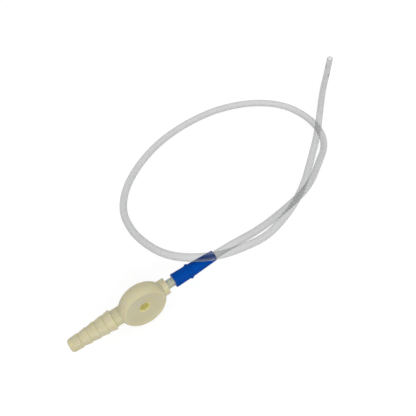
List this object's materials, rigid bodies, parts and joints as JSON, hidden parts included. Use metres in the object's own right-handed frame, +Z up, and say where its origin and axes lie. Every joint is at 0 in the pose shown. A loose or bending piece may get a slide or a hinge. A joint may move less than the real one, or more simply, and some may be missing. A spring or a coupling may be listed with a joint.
{
  "type": "tracheal suction catheter",
  "caption": "Tracheal suction catheter lying in a loose loop: stepped hose cone, bulb with a thumb control port, blue sleeve, and a frosted tube with an open tip and side eyes.",
  "frame": {"origin": "on the resting surface, below the middle of the connector and sleeve", "axes": "+X along the connector's axis from the hose cone towards the catheter, +Z up, and the thumb face looks towards -Y and up"},
  "size_m": [0.2327, 0.0962, 0.0224],
  "materials": {
    "ivory_plastic": "glossy, slightly translucent ivory",
    "blue_vinyl": "glossy, slightly translucent blue",
    "frosted_vinyl": "frosted, translucent and colourless"
  },
  "bodies": {
    "root": {"control_connector": "ivory_plastic", "colour_sleeve": "blue_vinyl", "catheter_tube": "frosted_vinyl"}
  },
  "joints": []
}
